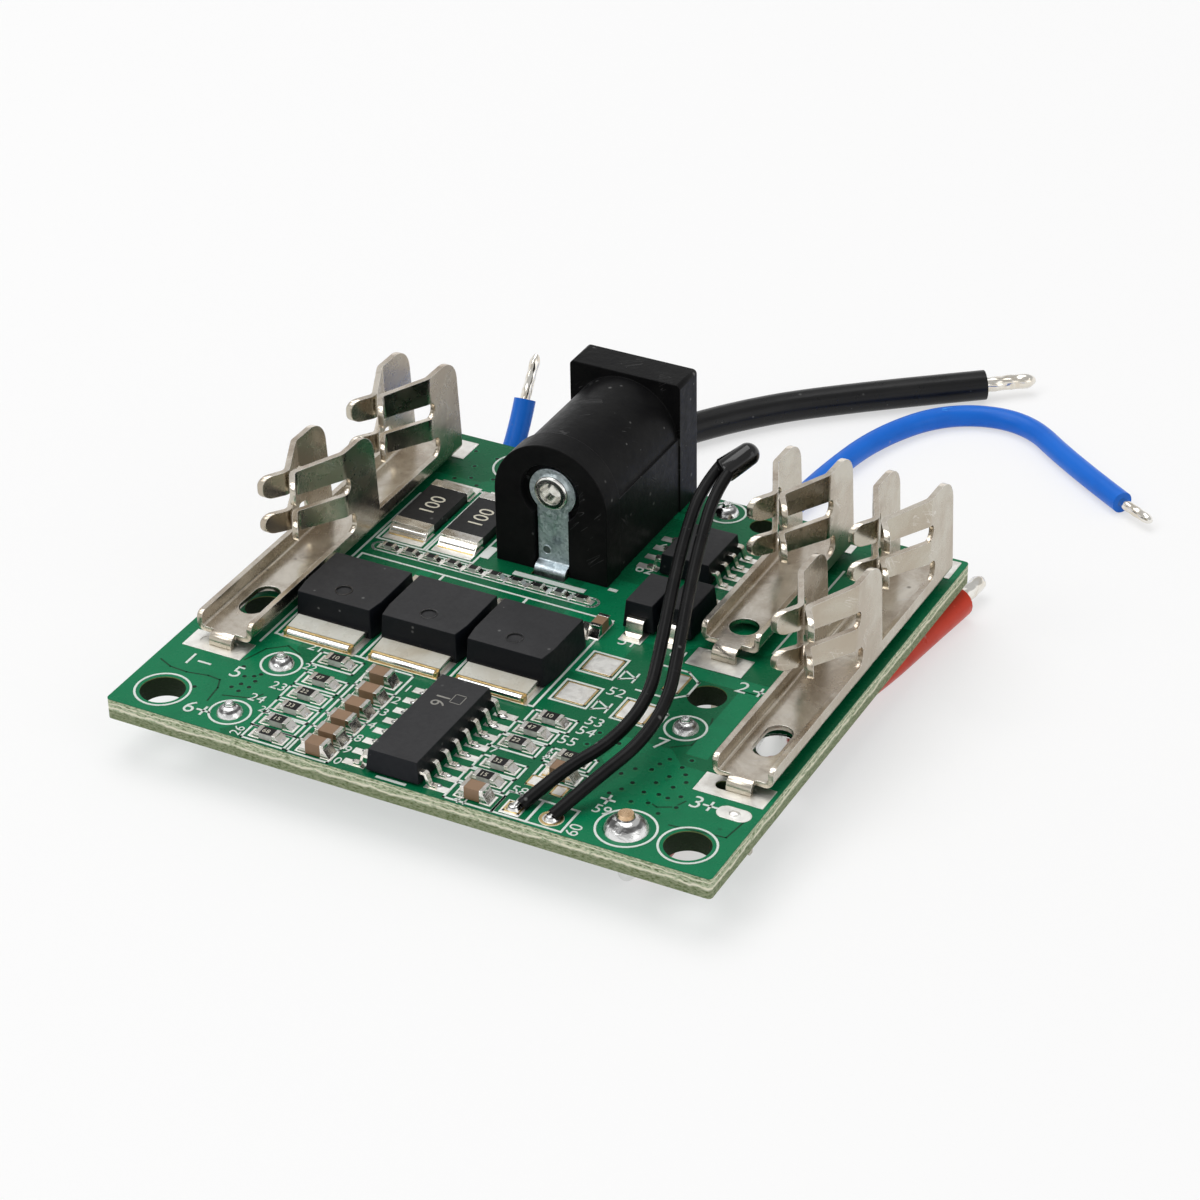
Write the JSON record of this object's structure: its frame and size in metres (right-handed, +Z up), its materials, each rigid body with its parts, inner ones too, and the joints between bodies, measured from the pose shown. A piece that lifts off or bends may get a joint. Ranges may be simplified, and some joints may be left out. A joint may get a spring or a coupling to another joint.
{
  "type": "battery management board",
  "caption": "Green circuit board with folded blade terminals, a round charging socket, power transistors, chips, solder joints, loose leads and a temperature sensor.",
  "frame": {"origin": "centre of the board at the level of the terminal tabs that it stands on", "axes": "+Z up, +X across the board to the side of the edge terminal, +Y to the edge with the charging socket"},
  "size_m": [0.0538, 0.0754, 0.0153],
  "materials": {
    "board": "glossy green mask over glass epoxy",
    "nickel": "satin nickel plate, lightly stained",
    "solder": "bright solder",
    "tinned_pad": "matt tin on copper",
    "print": "white board print",
    "jack_plastic": "black moulded plastic, fine scratches",
    "zinc_plate": "galvanised",
    "pin_metal": "nickel plated",
    "spring_metal": "plated spring strip",
    "case_plastic": "charcoal moulding compound",
    "lead_metal": "tin plated lead frame",
    "shunt_body": "black glaze",
    "resistor_body": "black glaze on white ceramic",
    "capacitor_body": "brown ceramic",
    "end_metal": "tinned ends",
    "black_wire": "glossy black cover",
    "red_wire": "glossy red cover",
    "blue_wire": "glossy blue cover",
    "sensor_black": "black cover",
    "tinned_core": "twisted tinned strands"
  },
  "bodies": {
    "root": {"pcb": "board", "tinned_pads": "tinned_pad", "white_print": "print", "underside_solder": "solder", "terminal_p_minus": "nickel", "terminal_c_plus": "nickel", "terminal_p_plus": "nickel", "jack_housing": "jack_plastic", "jack_contact_plate": "zinc_plate", "jack_centre_pin": "pin_metal", "jack_sleeve_spring": "spring_metal", "jack_switch_contact": "spring_metal", "mosfet_case_1": "case_plastic", "mosfet_case_2": "case_plastic", "mosfet_case_3": "case_plastic", "mosfet_leads_1": "lead_metal", "mosfet_leads_2": "lead_metal", "mosfet_leads_3": "lead_metal", "protection_chip_case": "case_plastic", "protection_chip_leads": "lead_metal", "driver_chip_case": "case_plastic", "driver_chip_leads": "lead_metal", "diode_cases": "case_plastic", "diode_tabs": "lead_metal", "shunt_bodies": "shunt_body", "shunt_ends": "end_metal", "resistor_bodies": "resistor_body", "resistor_ends": "end_metal", "capacitor_bodies": "capacitor_body", "capacitor_ends": "end_metal", "gate_capacitor_body": "capacitor_body", "gate_capacitor_ends": "end_metal", "gate_resistor_bodies": "resistor_body", "gate_resistor_ends": "end_metal", "joint_b2": "solder", "joint_b_plus": "solder", "joint_b3": "solder", "joint_positive": "solder", "joint_rear": "solder", "joint_b_minus": "solder", "sensor_joints": "solder", "black_lead": "black_wire", "black_lead_tip": "tinned_core", "red_lead": "red_wire", "red_lead_tip": "tinned_core", "long_blue_lead": "blue_wire", "long_blue_lead_tip": "tinned_core", "short_blue_lead": "blue_wire", "short_blue_lead_tip": "tinned_core", "sensor_left_lead": "sensor_black", "sensor_right_lead": "sensor_black", "sensor_bead": "sensor_black"}
  },
  "joints": []
}
